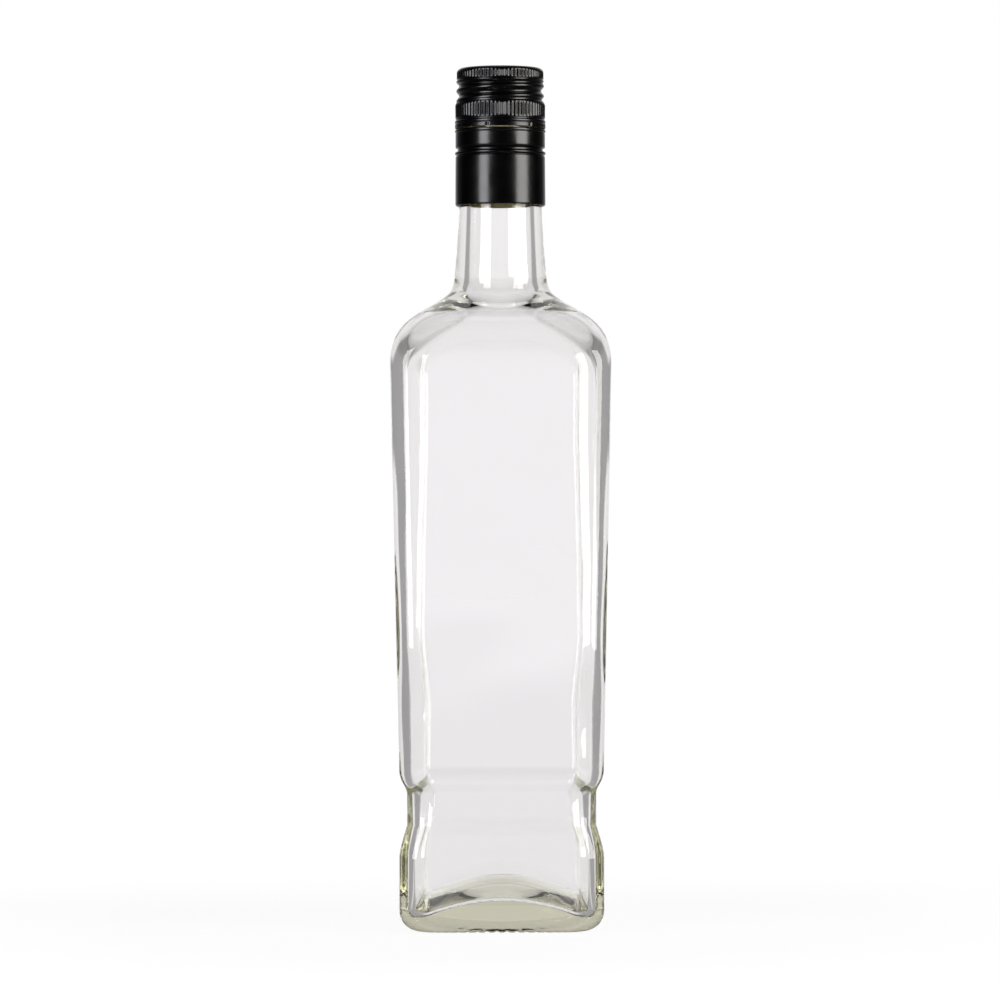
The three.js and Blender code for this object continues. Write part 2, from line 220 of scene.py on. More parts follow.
def ridgeRise(angle, z):
    # A raised cosine across the pitch.
    return glass["threadRise"] * (0.5 + 0.5 * np.cos(2 * np.pi * turnsUpThread(angle, z)))


def stepOutline(fromHalf, fromZ, toHalf, toZ, bend, count):
    # A Bezier that leaves and arrives upright, with its inner corners at the bend's shares of the height.
    rise = toZ - fromZ
    return bezierPoints((fromHalf, fromZ), (fromHalf, fromZ + bend[0] * rise),
                        (toHalf, toZ - bend[1] * rise), (toHalf, toZ), count)


def shoulderOutline(panelHalf, panelZ, turnHalf, turnZ, neckRadius, neckZ, rollCount, flareCount):
    # Two Beziers. The roll ends in the direction in which the turn up starts, so no crease shows between them.
    rise, flare, reach = turnZ - panelZ, neckZ - turnZ, turnHalf - neckRadius
    across, up = glass["turnAcross"] * reach, glass["turnUp"] * flare
    share = 0.5 * (panelHalf - turnHalf) / across
    roll = bezierPoints((panelHalf, panelZ), (panelHalf, panelZ + glass["rollRise"] * rise),
                        (turnHalf + share * across, turnZ - share * up), (turnHalf, turnZ), rollCount)
    turnUp = bezierPoints((turnHalf, turnZ), (turnHalf - across, turnZ + up),
                          (neckRadius, turnZ + glass["flareRise"] * flare), (neckRadius, neckZ), flareCount)
    return joinOutlines([roll, turnUp])


def outsideOutline():
    # From the middle of the push-up over the bearing ring and up the outside to the lip.
    body, heel, blockTop = glass["bodyHalf"], glass["heelRadius"], glass["baseBlockHeight"]
    share = np.linspace(glass["middleShare"], 1, 16)
    pushUp = np.stack([bearingInner * share, glass["pushUpHeight"] * np.cos(share * np.pi / 2)], -1)
    sag = neckTopRadius + glass["neckSag"] * glass["neckTaper"]
    neckMiddle = neckFoot + 0.5 * glass["neckHeight"]
    flatFoot = collarTop - glass["collarFlat"]
    beadShare = np.linspace(0, 1, 11)
    beadBulge = glass["beadReach"] * np.sin(beadShare * np.pi) - glass["beadFallIn"] * beadShare ** 4
    bead = np.stack([collarRadius + beadBulge, collarTop + beadShare * glass["beadHeight"]], -1)
    root, lip = glass["finishRadius"], glass["lipRound"]
    return joinOutlines([
        pushUp,
        linePoints((bearingInner, 0), (bearingOuter, 0), 5),
        arcPoints((bearingOuter, heel), heel, -90, 0, 14),
        linePoints((body, heel), (body, blockTop), 4),
        stepOutline(body, blockTop, waistHalf, waistFoot, glass["lowerStepBend"], 16),
        linePoints((waistHalf, waistFoot), (waistHalf, waistTop), 4),
        stepOutline(waistHalf, waistTop, body, panelFoot, glass["upperStepBend"], 16),
        linePoints((body, panelFoot), (panelTopHalf, panelTop), 20),
        shoulderOutline(panelTopHalf, panelTop, glass["shoulderHalf"], shoulderTop,
                        neckFootRadius, neckFoot, 26, 20),
        bezierPoints((neckFootRadius, neckFoot), (sag, neckMiddle - glass["neckLead"]),
                     (sag - glass["neckPinch"], neckMiddle + glass["neckTrail"]), (neckTopRadius, neckTop), 9),
        linePoints((neckTopRadius, neckTop), (collarRadius, flatFoot), 3),
        linePoints((collarRadius, flatFoot), (collarRadius, collarTop), 2),
        bead,
        linePoints(bead[-1], (root, threadFoot), 3),
        linePoints((root, threadFoot), (root, threadTop), 32),
        linePoints((root, threadTop), (root, lipHeight - lip), 3),
        arcPoints((root - lip, lipHeight - lip), lip, 0, 90, 6),
    ])


def insideOutline():
    # From the lip down the bore and the walls to the middle of the floor.
    lip, wall, drop, shoulderWall = (glass[key] for key in ("lipRound", "wall", "shoulderDrop", "shoulderWall"))
    baseInside = glass["bodyHalf"] - glass["baseWall"]
    waistInside = waistHalf - glass["waistWall"]
    footInside = glass["bodyHalf"] - wall
    floorRadius, floorHeight, blockTop = glass["floorRadius"], glass["floorThickness"], glass["baseBlockHeight"]
    floorHalf = baseInside - floorRadius
    floor = linePoints((floorHalf, floorHeight), (glass["middleShare"] * floorHalf, floorHeight), 16)
    upward = joinOutlines([
        arcPoints((floorHalf, floorHeight + floorRadius), floorRadius, -90, 0, 14),
        linePoints((baseInside, floorHeight + floorRadius), (baseInside, blockTop), 4),
        stepOutline(baseInside, blockTop, waistInside, waistFoot, glass["lowerStepBend"], 14),
        linePoints((waistInside, waistFoot), (waistInside, waistTop), 3),
        stepOutline(waistInside, waistTop, footInside, panelFoot, glass["upperStepBend"], 14),
        linePoints((footInside, panelFoot), (panelTopHalf - wall, panelTop - drop), 30),
        shoulderOutline(panelTopHalf - wall, panelTop - drop, glass["shoulderHalf"] - shoulderWall,
                        shoulderTop - drop, neckFootBore, neckFoot - shoulderWall, 24, 18),
        linePoints((neckFootBore, neckFoot - shoulderWall), (boreRadius, collarTop), 4),
        linePoints((boreRadius, collarTop), (boreRadius, lipHeight - lip), 3),
        arcPoints((boreRadius + lip, lipHeight - lip), lip, 180, 90, 6),
    ])
    return np.vstack([upward[::-1], floor[1:]])


def roundedSquareRadius(halfWidth, corner, angle):
    # Distance from the axis to a square with rounded corners. On a flat it is w / cos a, with a measured from
    # the flat's middle. On a corner it is the far root of |r u - C| = R, C being the corner circle's centre.
    fold = np.abs((angle + np.pi / 4) % (np.pi / 2) - np.pi / 4)
    reach = halfWidth - corner
    flat = halfWidth / np.cos(fold)
    under = np.maximum(corner ** 2 - reach ** 2 * (1 - np.sin(2 * fold)), 0)
    curved = reach * (np.cos(fold) + np.sin(fold)) + np.sqrt(under)
    return np.where(fold < np.arctan2(reach, halfWidth), flat, curved)


def threadRelief(angle, z):
    # The ridge's rise between the thread's two ends, each of which fades in and out along the turn.
    inThread = (z > threadFoot - slack) & (z < threadTop + slack)
    travelled = angle / (2 * np.pi) + np.round(turnsUpThread(angle, z)) + glass["threadTurns"]
    fade = np.clip(np.minimum(travelled, glass["threadTurns"] - travelled) / glass["threadFade"], 0, 1)
    return np.where(inThread, ridgeRise(angle, z) * fade, 0)


def blownWaves(angle, z):
    # Blown glass is never quite even inside: sines of the height and of the angle, only along the panels.
    swing = sum(depth * np.sin(2 * np.pi * z / length + around * angle + start)
                for depth, length, around, start in glass["innerWaves"])
    begins = smoothStep(z, panelFoot, panelFoot + glass["waveFadeFoot"])
    ends = smoothStep(z, panelTop - glass["waveFadeTop"], panelTop + glass["waveFadeTop"])
    return swing * begins * (1 - ends)


def floorDome(radius, z):
    # The floor inside is a round dome, so its edge arches along each side: a quarter cosine of the true
    # radius, fading out up the walls.
    dome = glass["domeRise"] * np.cos(0.5 * np.pi * np.clip(radius / glass["domeReach"], 0, 1))
    return dome * (1 - smoothStep(z, glass["floorThickness"], glass["baseBlockHeight"]))


def bearingNotches(halfWidth, z, turn):
    # Every third column of the bearing ring is lifted, but not in the corners, where the columns crowd.
    inRing = (halfWidth > bearingInner - slack) & (z < glass["knurlHeight"])
    spread = 1 + glass["cornerCrowding"] * np.cos(2 * np.pi * turn)
    notched = np.arange(turn.size) % glass["knurlColumns"] == 1
    notch = glass["knurlDepth"] * smoothStep(spread, *glass["knurlSpread"]) * notched
    return np.where(inRing, notch * (1 - smoothStep(z, 0, glass["knurlHeight"])), 0)


def makeGlassBottle(material):
    # Each row is a rounded square that turns into a circle over the shoulders, and takes its relief on top.
    outside, inside = outsideOutline(), insideOutline()
    outline = np.vstack([outside, inside])
    isInside = (np.arange(len(outline)) >= len(outside))[:, None]
    halfWidth, z = outline[:, :1], outline[:, 1:]
    # The blown inside is rounder in its corners where the glass ran thicker, by height up the wall.
    heights, radii = np.array(glass["innerCorners"]).T
    bodyCorner = np.where(isInside, np.interp(z, heights, radii), glass["cornerRadius"])
    roundness = smoothStep(z, panelTop, neckFoot)
    corner = np.minimum(bodyCorner, glass["roundestShare"] * halfWidth)
    corner = corner + (halfWidth - corner) * roundness
    # Columns crowd in the corners of the square rows and are even round the neck.
    turn = (np.arange(4 * glass["columnsPerSide"])[None, :] + 0.5) / glass["columnsPerSide"]
    crowding = glass["cornerCrowding"] * (1 - roundness) / (2 * np.pi)
    angle = np.pi / 2 * (turn + crowding * np.sin(2 * np.pi * turn))
    radius = roundedSquareRadius(halfWidth, corner, angle)
    radius = radius + np.where(isInside, blownWaves(angle, z), threadRelief(angle, z))
    z = z + np.where(isInside, floorDome(radius, z), bearingNotches(halfWidth, z, turn))
    return skinObject("bottleGlass", radius, z, angle, [material])


# The aluminium closure: depths are measured down from its top, radii are those of its outer face
closure = {
    "sheet": 0.25, "height": 43.8, "threadClearance": 0.47, "beadClearance": 0.3, "splitGap": 0.4,
    # top and fluted rim
    "topRound": 1.65, "topBend": 0.45, "topInset": 0.1, "rimLean": 0.05, "rimSetback": 0.13,
    "rimFlutesHeight": 1.8, "rimFluteStart": 0.55, "rimFluteEnd": (-0.3, 0.1),
    "rimGrooveHeight": 0.7, "rimGrooveDepth": 0.25, "rimBevel": 0.3,
    # rolled thread
    "rolledHeight": 6.85, "rolledFade": 1.1,
    # fluted band, where the flutes start and end a little inside it
    "flutes": 72, "fluteDepth": 0.3, "fluteSharpness": 0.7, "bandHeight": 5.0, "bandRise": 0.1,
    "bandBevel": 0.9, "bandFluteTop": 0.3, "bandFluteFoot": (0.45, 0.1), "bandFootBevel": (0.05, 0.2),
    # necking and ring, with the nicks that the broken bridges leave
    "neckingHeight": 1.0, "neckingDepth": 0.35, "ringHeight": 2.2, "ringRise": 0.2, "ringBevel": (0.1, 0.12),
    "ringGrooveDepth": 0.18, "ringGrooveBelow": 0.7, "ringGrooveHalf": 0.3,
    "nicks": 9, "nickWidth": 4.0, "nickDepth": 0.2, "nickUneven": 0.3, "nickBelow": (0.9, 1.1), "nickEnd": 0.05,
    # the mesh, where the middle of the top is closed by triangles
    "columns": 432, "middleRadius": 0.6, "leastRadius": 0.3,
}

# The liner: a disc of foam between the glass lip and the closure's top
liner = {
    "thickness": 1.95, "clearance": 0.35, "edgeRound": 0.2, "edgeRise": 0.8, "edgeBend": 0.9, "edgeBevel": 1.6,
    "columns": 160, "middleRadius": 0.5,
}

sheet = closure["sheet"]
closureTop = lipHeight + liner["thickness"] + sheet
sleeveRadius = beadRadius + closure["beadClearance"] + sheet
bandRadius = sleeveRadius + closure["bandRise"]
ringRadius = sleeveRadius + closure["ringRise"]
rolledRadius = crestRadius + closure["threadClearance"] + sheet
rimRadius = rolledRadius - closure["rimSetback"]
rimFoot = closure["topRound"] + closure["rimFlutesHeight"]
rolledTop = rimFoot + closure["rimGrooveHeight"]
bandTop = rolledTop + closure["rolledHeight"]
bandFoot = bandTop + closure["bandHeight"]
ringTop = bandFoot + closure["neckingHeight"]
splitDepth = ringTop + closure["ringHeight"]


def fluteWave(angle):
    # 0 on a crest and 1 at the bottom of a flute, with the crests narrower than the flutes.
    return (0.5 - 0.5 * np.cos(closure["flutes"] * angle)) ** closure["fluteSharpness"]


def capOutside():
    # Radius and depth of the cap's outer face, from the split up to the top.
    topRound, topBend = closure["topRound"], closure["topBend"] * closure["topRound"]
    ringFoot = splitDepth - closure["ringBevel"][1]
    neckingRadius = ringRadius - closure["neckingDepth"]
    neckingMiddle = bandFoot + 0.5 * closure["neckingHeight"]
    lowBandRadius, lowBand = bandRadius - closure["bandFootBevel"][0], bandFoot - closure["bandFootBevel"][1]
    bandEdge = bandTop + closure["bandBevel"]
    grooveRadius, grooveDepth = rimRadius - closure["rimGrooveDepth"], rimFoot + closure["rimBevel"]
    return joinOutlines([
        linePoints((ringRadius - closure["ringBevel"][0], splitDepth), (ringRadius, ringFoot), 3),
        linePoints((ringRadius, ringFoot), (ringRadius, ringTop), 18),
        linePoints((ringRadius, ringTop), (neckingRadius, neckingMiddle), 4),
        linePoints((neckingRadius, neckingMiddle), (lowBandRadius, lowBand), 4),
        linePoints((lowBandRadius, lowBand), (bandRadius, bandEdge), 12),
        linePoints((bandRadius, bandEdge), (rolledRadius, bandTop), 4),
        linePoints((rolledRadius, bandTop), (rolledRadius, rolledTop), 34),
        linePoints((rolledRadius, rolledTop), (grooveRadius, grooveDepth), 4),
        linePoints((grooveRadius, grooveDepth), (rimRadius, rimFoot), 3),
        linePoints((rimRadius, rimFoot), (rimRadius, topRound), 7),
        bezierPoints((rimRadius, topRound), (rimRadius - closure["rimLean"], topBend),
                     (rimRadius - topBend, 0), (rimRadius - topRound, 0), 12),
        linePoints((rimRadius - topRound, 0), (closure["middleRadius"], 0), 8),
    ])


def capRecess(angle, depth):
    # A fine groove runs round the ring, and short upright nicks stand under it.
    groove = closure["ringGrooveDepth"] * bump(
        depth, ringTop + closure["ringGrooveBelow"], closure["ringGrooveHalf"])
    wander = closure["nickUneven"] * np.sin(2 * angle)
    share = (angle * closure["nicks"] / (2 * np.pi) + wander) % 1 - 0.5
    halfShare = 0.5 * closure["nickWidth"] / 360 * closure["nicks"]  # the width is in degrees round the ring
    below = smoothStep(depth, *(ringTop + np.array(closure["nickBelow"])))
    nick = closure["nickDepth"] * bump(share, 0, halfShare) * below
    return groove + nick * (depth < splitDepth - closure["nickEnd"])


def makeScrewCap(materials):
    # The radius at each depth, less what the thread, the flutes, the groove and the nicks take off at that
    # angle. The inner face is the outer one, moved in by the sheet and without flutes or recess.
    outer = capOutside()
    inner = outer[::-1].copy()
    inner[:, 0] -= sheet
    inner[:, 1] = np.maximum(inner[:, 1], sheet)
    inner[-1, 1] = splitDepth
    underTop = inner[:, 1] <= sheet
    inner[underTop, 0] = np.minimum(
        inner[underTop, 0], rimRadius - closure["topRound"] - closure["topInset"])
    outline = np.vstack([inner, outer])
    isInside = (np.arange(len(outline)) < len(inner))[:, None]
    radius, depth = outline[:, :1], outline[:, 1:]
    z = closureTop - depth
    angle = ringAngles(closure["columns"])
    fade = np.clip(np.minimum(depth - rolledTop, bandTop - depth) / closure["rolledFade"], 0, 1)
    rolled = (glass["threadRise"] - ridgeRise(angle, z)) * fade
    rimStart = smoothStep(depth, closure["rimFluteStart"] * closure["topRound"], closure["topRound"])
    rimEnd = smoothStep(depth, *(rimFoot + np.array(closure["rimFluteEnd"])))
    bandStart = smoothStep(depth, bandTop + closure["bandFluteTop"], bandTop + closure["bandBevel"])
    bandEnd = smoothStep(depth, *(bandFoot - np.array(closure["bandFluteFoot"])))
    flutes = closure["fluteDepth"] * np.maximum(rimStart * (1 - rimEnd), bandStart * (1 - bandEnd))
    flutes = np.where(isInside, flutes, flutes * fluteWave(angle))
    recess = np.where(isInside, 0, capRecess(angle, depth))
    radius = np.maximum(radius - rolled - flutes - recess, closure["leastRadius"])
    return skinObject("capShell", radius, z, angle, materials, isInside[:, 0].astype(int))


# Material looks


def makeFlintGlass():
    # Flint container glass, blown into a mould: clear and glossy. Its faint olive green only shows where
    # light runs far in it, as in the base. The density is per metre, so a thin wall stays clear.
    material, tree = newMaterial("mouldBlownFlintGlass")
    body = addNode(tree, "ShaderNodeBsdfPrincipled", inputs={
        "Base Color": toLinear("#ffffff"), "Roughness": 0.0, "IOR": 1.52, "Transmission Weight": 1.0})
    depthTint = addNode(tree, "ShaderNodeVolumeAbsorption", inputs={
        "Color": toLinear("#a4a230"), "Density": 12.0})
    addNode(tree, "ShaderNodeOutputMaterial", links=[
        ("Surface", body, "BSDF"), ("Volume", depthTint, "Volume")])
    return material


def makeBlackLacquer():
    # Roll-on aluminium sheet under a baked satin black lacquer: deep black with soft-edged highlights, a
    # faint orange peel 1.1 mm across, and patches 7 mm across that are a little duller from handling.
    material, tree = newMaterial("satinBlackLacqueredAluminium")
    place = addNode(tree, "ShaderNodeTexCoord")
    orangePeel = addNode(tree, "ShaderNodeTexNoise", inputs={
        "Scale": 1 / (1.1 * mm), "Detail": 2.0}, links=[("Vector", place, "Object")])
    relief = addNode(tree, "ShaderNodeBump", inputs={
        "Strength": 0.06, "Distance": 0.2 * mm}, links=[("Height", orangePeel, "Fac")])
    wear = addNode(tree, "ShaderNodeTexNoise", inputs={
        "Scale": 1 / (7.0 * mm), "Detail": 4.0}, links=[("Vector", place, "Object")])
    rough = addNode(tree, "ShaderNodeMapRange", inputs={
        "From Min": 0.3, "From Max": 0.7, "To Min": 0.19, "To Max": 0.26}, links=[("Value", wear, "Fac")])
    body = addNode(tree, "ShaderNodeBsdfPrincipled", inputs={
        "Base Color": toLinear("#010101"), "Metallic": 0.0, "IOR": 1.5},
        links=[("Roughness", rough, "Result"), ("Normal", relief, "Normal")])
    addNode(tree, "ShaderNodeOutputMaterial", links=[("Surface", body, "BSDF")])
    return material


def makeGoldLacquer():
    # The inside of the closure's sheet: aluminium under a clear gold lacquer, a dull metallic yellow.
    material, tree = newMaterial("goldLacqueredAluminium")
    place = addNode(tree, "ShaderNodeTexCoord")
    grain = addNode(tree, "ShaderNodeTexNoise", inputs={
        "Scale": 1 / (3.3 * mm), "Detail": 3.0}, links=[("Vector", place, "Object")])
    rough = addNode(tree, "ShaderNodeMapRange", inputs={
        "To Min": 0.3, "To Max": 0.42}, links=[("Value", grain, "Fac")])
    body = addNode(tree, "ShaderNodeBsdfPrincipled", inputs={
        "Base Color": toLinear("#b3a565"), "Metallic": 0.85}, links=[("Roughness", rough, "Result")])
    addNode(tree, "ShaderNodeOutputMaterial", links=[("Surface", body, "BSDF")])
    return material


def makeFoam():
    # Expanded polyethylene liner: matte and white, with closed cells 0.4 mm across.
    material, tree = newMaterial("expandedPolyethyleneFoam")
    place = addNode(tree, "ShaderNodeTexCoord")
    cells = addNode(tree, "ShaderNodeTexVoronoi", inputs={
        "Scale": 1 / (0.4 * mm)}, links=[("Vector", place, "Object")])
    relief = addNode(tree, "ShaderNodeBump", inputs={
        "Strength": 0.2, "Distance": 0.2 * mm}, links=[("Height", cells, "Distance")])
    body = addNode(tree, "ShaderNodeBsdfPrincipled", inputs={
        "Base Color": toLinear("#e9e7df"), "Roughness": 0.75}, links=[("Normal", relief, "Normal")])
    addNode(tree, "ShaderNodeOutputMaterial", links=[("Surface", body, "BSDF")])
    return material


flintGlass, foam = makeFlintGlass(), makeFoam()
blackLacquer, goldLacquer = makeBlackLacquer(), makeGoldLacquer()

bottleGlass = makeGlassBottle(flintGlass)
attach(bottleGlass, "bottle")
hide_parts("glass_bottle")
print("stage: glass bottle")

capShell = makeScrewCap([blackLacquer, goldLacquer])
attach(capShell, "cap")
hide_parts("screw_cap")
print("stage: screw cap")

# The sleeve that stays on the neck, from its rolled upper edge down to the turned-in end
sleeve = {
    "lipHeight": 0.8, "lipCurl": 0.02, "lipPinch": 0.2, "lipHollow": 0.12,
    # where the curves bend below the top and below the bead, in lip heights and in flank heights
    "lipBends": (0.2, 0.6, 1.0, 1.1, 1.3, 2.0), "grooveBends": (0.6, 1.0, 1.4, 1.6, 2.4),
    "tuckHeight": 0.5, "tuckEase": 0.15, "tuckBend": 0.1, "flankHeight": 0.35,
    "beadHeight": 0.9, "beadBend": 0.25, "grooveDepth": 0.3,
    "skirtFlare": 0.1, "endRoll": 0.15, "endRollHeight": 0.6, "endBend": 0.3,
    "columns": 240,
}


def sleeveOutline():
    # The outer face up from the end, then the same face one sheet further in, down and closed on itself.
    # Straight lines and Beziers, whose two inner corners only bend them.
    flank, bend = sleeve["flankHeight"], sleeve["tuckBend"]
    top = splitDepth + closure["splitGap"]
    lipAt = [top + share * sleeve["lipHeight"] for share in sleeve["lipBends"]]
    lipRadius = ringRadius - sleeve["lipCurl"]
    tuckTop = closureTop - collarTop
    tuckFoot = tuckTop + sleeve["tuckHeight"]
    easeTop = tuckTop - flank - sleeve["tuckEase"]
    beadFoot = tuckFoot + flank + sleeve["beadHeight"]
    beadMiddle = 0.5 * (tuckFoot + flank + beadFoot)
    grooveAt = [beadFoot + share * flank for share in sleeve["grooveBends"]]
    tuckRadius = collarRadius + sheet
    grooveRadius = sleeveRadius - sleeve["grooveDepth"]
    skirtRadius = sleeveRadius + sleeve["skirtFlare"]
    endRadius = sleeveRadius - sleeve["endRoll"]
    end = closure["height"]
    outer = joinOutlines([
        bezierPoints((sleeveRadius, top), (ringRadius, lipAt[0]),
                     (ringRadius, lipAt[1]), (lipRadius, lipAt[2]), 6),
        bezierPoints((lipRadius, lipAt[2]), (ringRadius - sleeve["lipPinch"], lipAt[3]),
                     (sleeveRadius - sleeve["lipHollow"], lipAt[4]), (sleeveRadius, lipAt[5]), 6),
        linePoints((sleeveRadius, lipAt[5]), (sleeveRadius, easeTop), 5),
        bezierPoints((sleeveRadius, easeTop), (sleeveRadius, tuckTop - flank),
                     (tuckRadius, tuckTop - bend), (tuckRadius, tuckTop), 6),
        linePoints((tuckRadius, tuckTop), (tuckRadius, tuckFoot), 3),
        bezierPoints((tuckRadius, tuckFoot), (tuckRadius, tuckFoot + sleeve["beadBend"]),
                     (ringRadius, tuckFoot + flank - bend), (ringRadius, beadMiddle), 8),
        bezierPoints((ringRadius, beadMiddle), (ringRadius, beadFoot + bend),
                     (grooveRadius, grooveAt[0]), (grooveRadius, grooveAt[1]), 8),
        bezierPoints((grooveRadius, grooveAt[1]), (grooveRadius, grooveAt[2]),
                     (sleeveRadius, grooveAt[3]), (sleeveRadius, grooveAt[4]), 6),
        linePoints((sleeveRadius, grooveAt[4]), (skirtRadius, end - sleeve["endRollHeight"]), 10),
        bezierPoints((skirtRadius, end - sleeve["endRollHeight"]), (skirtRadius, end - sleeve["endBend"]),
                     (endRadius + bend, end), (endRadius, end), 6),
    ])
    inner = outer - np.array([sheet, 0])
    slotOfRow = np.concatenate([np.zeros(len(outer), int), np.ones(len(inner) - 1, int), [0]])
    return np.vstack([outer[::-1], inner]), slotOfRow


sleeveShell = tubeObject("sleeveShell", *sleeveOutline(), sleeve["columns"], [blackLacquer, goldLacquer])
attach(sleeveShell, "bottle")
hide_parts("neck_sleeve")


def makeLiner(material):
    # A disc with a small round below and a wide one above: its outline carried round the axis.
    edge = rimRadius - closure["fluteDepth"] - sheet - liner["clearance"]
    top, foot, middle = lipHeight + liner["thickness"], lipHeight, liner["middleRadius"]
    small, bevel = liner["edgeRound"], liner["edgeBevel"]
    outline = joinOutlines([
        linePoints((middle, foot), (edge - small, foot), 6),
        arcPoints((edge - small, foot + small), small, -90, 0, 4),
        bezierPoints((edge, foot + small), (edge, top - liner["edgeRise"]),
                     (edge - liner["edgeBend"], top), (edge - bevel, top), 8),
        linePoints((edge - bevel, top), (middle, top), 5),
    ])
    radius = np.repeat(outline[:, :1], liner["columns"], axis=1)
    return skinObject("linerDisc", radius, outline[:, 1:], ringAngles(liner["columns"]), [material])


linerDisc = makeLiner(foam)
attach(linerDisc, "cap_seal")
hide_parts("cap_liner")
print("stage: sleeve and liner")

# Stage: a pale floor, a white surround with darker sides and ceiling, two soft boxes, and the camera. Sizes
# are in metres. Each stop pairs a turn in degrees, 0 behind the bottle and 180 in front, with a tone.
stage = {
    "throughStops": [(0, 0.96), (40, 0.96), (46, 0.4), (84, 0.4),
                     (90, 0.9), (96, 0.4), (134, 0.4), (140, 0.96)],
    "mirrorStops": [(0, 1.0), (18, 0.7), (40, 0.1), (70, 0.006), (180, 0.006)],
    "tint": (1.0, 0.982, 1.019),
    "ceilingLow": 0.4, "ceilingHigh": 0.72, "ceilingTone": 0.1,
    "floorHalf": 6.0, "floorGlow": 0.93, "floorTone": 0.065, "shadowReach": 0.12, "shadowFade": 0.36,
    # painted shade: seen through the glass and in the lacquer, the floor's glow runs from a darker tone by the
    # bottle to the far tone far off
    "paintedShadeTone": 0.885, "farTone": 0.995, "nearDistance": 0.2, "farDistance": 4.2,
    "boxHeight": 1.2, "boxDistance": 1.1, "boxRaise": 0.25, "boxRadiance": 24.0,
    "leftBoxTurn": -43.0, "leftBoxWidth": 0.46, "leftBoxColour": "#fafaff",
    "rightBoxTurn": 58.0, "rightBoxWidth": 0.62, "rightBoxColour": "#fffdfa",
    "eyeHeight": 0.1356, "cameraDistance": 1.634, "fieldOfView": 11.13,
    "cameraRoll": 0.12, "cameraShift": -0.001,
    "bounces": 48, "glossyBounces": 24,
}


def toneByTurn(tree, place, output, stops):
    # The turn is the angle between straight behind and the direction of a place, seen from above, alike on
    # both sides. The tones are tinted a little against the green of the glass.
    parts = addNode(tree, "ShaderNodeSeparateXYZ", links=[("Vector", place, output)])
    sideways = addNode(tree, "ShaderNodeMath", {"operation": "ABSOLUTE"}, links=[(0, parts, "X")])
    turn = addNode(tree, "ShaderNodeMath", {"operation": "ARCTAN2"}, links=[(0, sideways, 0), (1, parts, "Y")])
    share = addNode(tree, "ShaderNodeMath", {"operation": "DIVIDE"}, {1: math.pi}, [(0, turn, 0)])
    tones = addNode(tree, "ShaderNodeValToRGB", links=[("Fac", share, 0)])
    ramp = tones.color_ramp
    while len(ramp.elements) < len(stops):
        ramp.elements.new(1.0)
    for element, (degrees, tone) in zip(ramp.elements, stops):
        element.position = degrees / 180
        element.color = [tone * channel for channel in stage["tint"]] + [1]
    return tones


def makeSurround():
    # Plain white to the camera. Rays through the glass see darker sides and a darker ceiling, and mirrored
    # rays see a room that is dark on the camera's side, so edges and black lacquer are drawn as in a studio.
    world = bpy.data.worlds.new("studio")
    bpy.context.scene.world = world
    world.use_nodes = True
    tree = world.node_tree
    tree.nodes.clear()
    place = addNode(tree, "ShaderNodeTexCoord")
    through = toneByTurn(tree, place, "Generated", stage["throughStops"])
    mirror = toneByTurn(tree, place, "Generated", stage["mirrorStops"])
    path = addNode(tree, "ShaderNodeLightPath")
    upward = addNode(tree, "ShaderNodeSeparateXYZ", links=[("Vector", place, "Generated")])
    ceiling = addNode(tree, "ShaderNodeMapRange", inputs={
        "From Min": stage["ceilingLow"], "From Max": stage["ceilingHigh"],
        "To Min": 1.0, "To Max": stage["ceilingTone"]}, links=[("Value", upward, "Z")])
    underCeiling = addNode(tree, "ShaderNodeMixRGB", {"blend_type": "MULTIPLY"}, {"Fac": 1.0},
                           [("Color1", through, "Color"), ("Color2", ceiling, "Result")])
    indirect = addNode(tree, "ShaderNodeMixRGB", links=[
        ("Fac", path, "Is Transmission Ray"), ("Color1", mirror, "Color"), ("Color2", underCeiling, "Color")])
    seen = addNode(tree, "ShaderNodeMixRGB", inputs={"Color2": (1, 1, 1, 1)},
                   links=[("Fac", path, "Is Camera Ray"), ("Color1", indirect, "Color")])
    surround = addNode(tree, "ShaderNodeBackground", inputs={"Strength": 1.0}, links=[("Color", seen, "Color")])
    addNode(tree, "ShaderNodeOutputWorld", links=[("Surface", surround, "Background")])


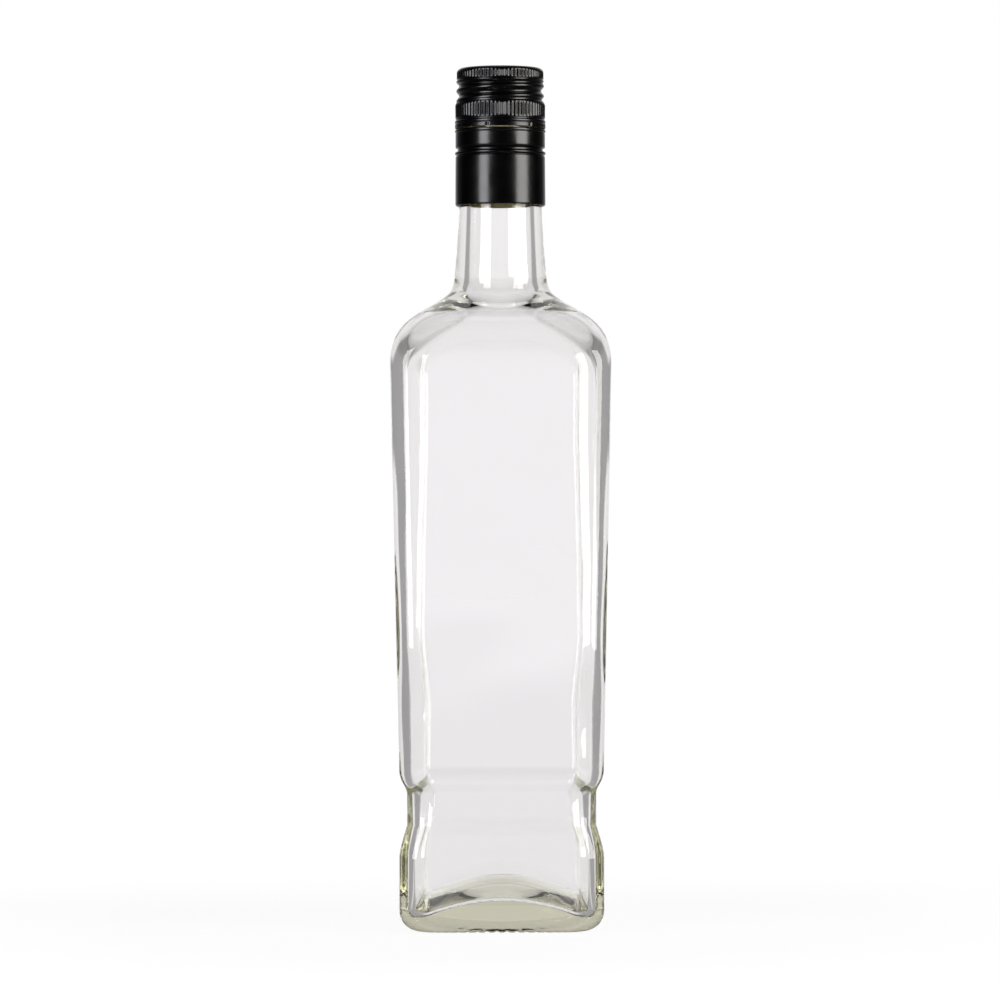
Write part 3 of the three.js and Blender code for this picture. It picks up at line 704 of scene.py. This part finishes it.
def makeFloor():
    # A pale sweep: its own faint glow keeps it white, and the rest of its tone takes the bottle's shadow.
    # Through the glass and in the lacquer it has the surround's tones, so it meets the surround unseen, and
    # there its glow carries a painted shade, darker near the bottle.
    half, tone = stage["floorHalf"], stage["floorTone"]
    material, tree = newMaterial("paleSweep")
    place = addNode(tree, "ShaderNodeTexCoord")
    through = toneByTurn(tree, place, "Object", stage["throughStops"])
    mirror = toneByTurn(tree, place, "Object", stage["mirrorStops"])
    path = addNode(tree, "ShaderNodeLightPath")
    indirect = addNode(tree, "ShaderNodeMixRGB", links=[
        ("Fac", path, "Is Transmission Ray"), ("Color1", mirror, "Color"), ("Color2", through, "Color")])
    distance = addNode(tree, "ShaderNodeVectorMath", {"operation": "LENGTH"}, links=[(0, place, "Object")])
    glow = addNode(tree, "ShaderNodeMapRange", inputs={
        "From Min": stage["shadowReach"], "From Max": stage["shadowFade"],
        "To Min": stage["floorGlow"], "To Max": 1.0}, links=[("Value", distance, "Value")])
    # Painted shade: for rays through the glass and mirrored rays, the floor's glow is darker near the bottle.
    paintedNearShade = addNode(tree, "ShaderNodeMapRange", {"interpolation_type": "SMOOTHSTEP"}, {
        "From Min": stage["nearDistance"], "From Max": stage["farDistance"],
        "To Min": stage["paintedShadeTone"], "To Max": stage["farTone"]}, [("Value", distance, "Value")])
    indirectWithPaintedShade = addNode(tree, "ShaderNodeMixRGB", {"blend_type": "MULTIPLY"}, {"Fac": 1.0},
                     [("Color1", indirect, "Color"), ("Color2", paintedNearShade, "Result")])
    seen = addNode(tree, "ShaderNodeMixRGB", links=[
        ("Fac", path, "Is Camera Ray"), ("Color1", indirectWithPaintedShade, "Color"), ("Color2", glow, "Result")])
    light = addNode(tree, "ShaderNodeEmission", links=[("Color", seen, "Color")])
    matte = addNode(tree, "ShaderNodeBsdfDiffuse", inputs={"Color": (tone, tone, tone, 1)})
    both = addNode(tree, "ShaderNodeAddShader", links=[(0, matte, "BSDF"), (1, light, "Emission")])
    addNode(tree, "ShaderNodeOutputMaterial", links=[("Surface", both, "Shader")])
    corners = np.array([(-half, -half, 0), (half, -half, 0), (half, half, 0), (-half, half, 0)])
    floor = meshObject("floor", corners, [(0, 1, 2, 3)], [material])


def addSoftBox(name, turnDegrees, width, colour):
    # Turned about the upright axis from the camera's side, and aimed at the bottle's middle.
    lamp = bpy.data.lights.new(name, "AREA")
    lamp.shape, lamp.size, lamp.size_y = "RECTANGLE", width, stage["boxHeight"]
    lamp.energy, lamp.color = stage["boxRadiance"] * width * stage["boxHeight"], toLinear(colour)[:3]
    box = bpy.data.objects.new(name, lamp)
    around, raised, away = math.radians(turnDegrees), stage["boxRaise"], stage["boxDistance"]
    box.location = (away * math.sin(around), -away * math.cos(around), stage["eyeHeight"] + raised)
    box.rotation_euler = (math.pi / 2 - math.atan2(raised, away), 0, around)
    bpy.context.scene.collection.objects.link(box)


def addCamera():
    # Level with the middle of the bottle, with the small roll and shift of a camera set up by hand.
    cameraData = bpy.data.cameras.new("camera")
    cameraData.angle = math.radians(stage["fieldOfView"])
    cameraData.shift_x = stage["cameraShift"]
    camera = bpy.data.objects.new("camera", cameraData)
    camera.location = (0, -stage["cameraDistance"], stage["eyeHeight"])
    camera.rotation_euler = (math.pi / 2, math.radians(stage["cameraRoll"]), 0)
    bpy.context.scene.collection.objects.link(camera)
    bpy.context.scene.camera = camera


# Light runs on through thick glass for many reflections before it comes out again.
bpy.context.scene.cycles.max_bounces = stage["bounces"]
bpy.context.scene.cycles.transmission_bounces = stage["bounces"]
bpy.context.scene.cycles.glossy_bounces = stage["glossyBounces"]
makeSurround()
makeFloor()
addSoftBox("leftSoftBox", stage["leftBoxTurn"], stage["leftBoxWidth"], stage["leftBoxColour"])
addSoftBox("rightSoftBox", stage["rightBoxTurn"], stage["rightBoxWidth"], stage["rightBoxColour"])
addCamera()
bpy.context.scene.view_settings.view_transform = "Standard"
print("stage: floor, lamps and camera")
